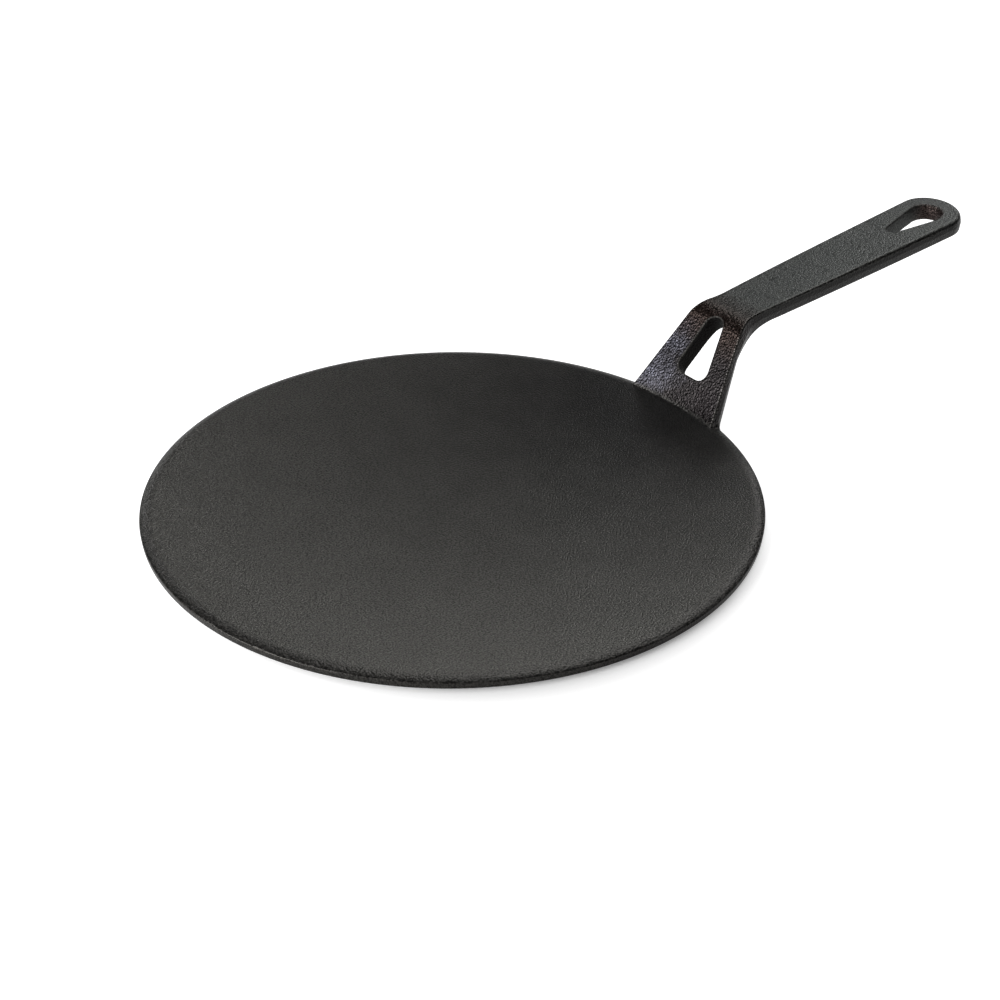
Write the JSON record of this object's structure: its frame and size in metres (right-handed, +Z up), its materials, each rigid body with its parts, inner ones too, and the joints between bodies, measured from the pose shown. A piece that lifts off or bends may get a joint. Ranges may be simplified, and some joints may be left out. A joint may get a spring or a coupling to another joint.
{
  "type": "tawa",
  "caption": "Flat round cast iron griddle plate with one raised handle, a windowed neck and a teardrop hang hole.",
  "frame": {"origin": "centre of the plate's flat underside, on the table", "axes": "+X along the handle towards its tip, +Z up out of the cooking surface"},
  "size_m": [0.4344, 0.266, 0.0517],
  "materials": {
    "seasoned_iron": "oil-seasoned sand casting: matt warm black plate, glossier pebbled neck, fine satin grip"
  },
  "bodies": {
    "root": {"griddle_plate": "seasoned_iron", "handle_neck": "seasoned_iron", "handle_grip": "seasoned_iron"}
  },
  "joints": []
}
